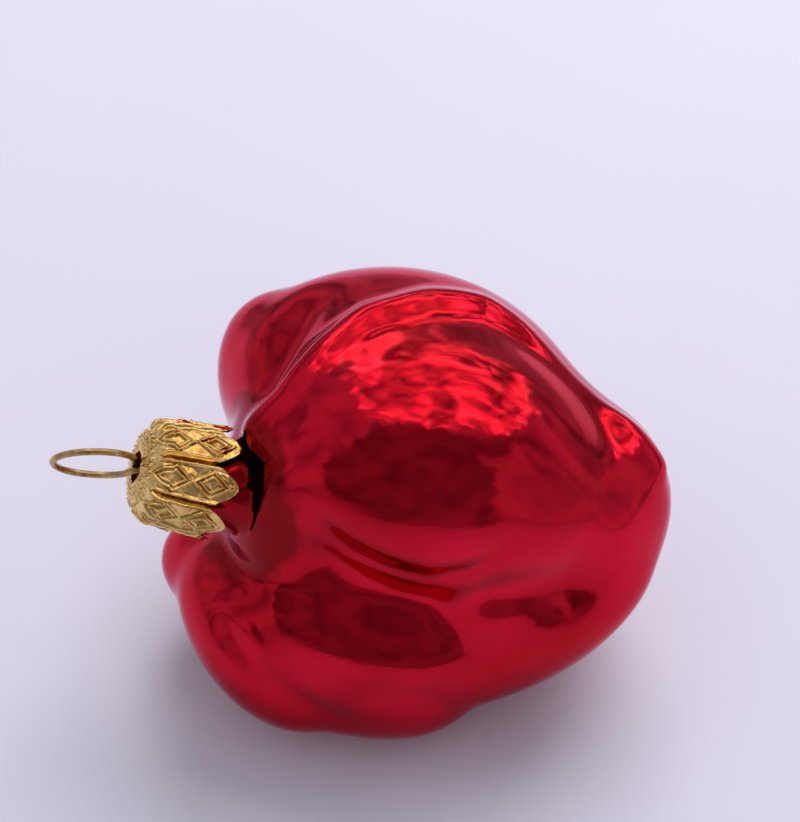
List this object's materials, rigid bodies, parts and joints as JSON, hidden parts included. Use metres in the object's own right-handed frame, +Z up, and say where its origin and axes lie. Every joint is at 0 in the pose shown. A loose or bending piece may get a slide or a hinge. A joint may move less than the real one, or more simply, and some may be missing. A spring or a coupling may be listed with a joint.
{
  "type": "glass pepper tree ornament",
  "caption": "Lobed red blown-glass pepper ornament lying on its side, with a stamped gold crown cap and a wire ring to hang it by.",
  "frame": {"origin": "middle of the footprint's box, on the surface that the ornament lies on", "axes": "+Z up, X along the fruit from the hanging ring (-X) to its blunt tip (+X), +Y away from the side where the large front lobe and the two long dimples are"},
  "size_m": [0.0824, 0.0554, 0.0555],
  "materials": {
    "red_glass": "mirror-silvered blown glass with a clear red lacquer, high gloss",
    "gold_cap": "bright stamped gold-coloured sheet metal",
    "brass_wire": "drawn wire, bronze tone, semi-gloss"
  },
  "bodies": {
    "root": {"glass_body": "red_glass", "crown_cap": "gold_cap", "hanger_wire": "brass_wire"}
  },
  "joints": []
}
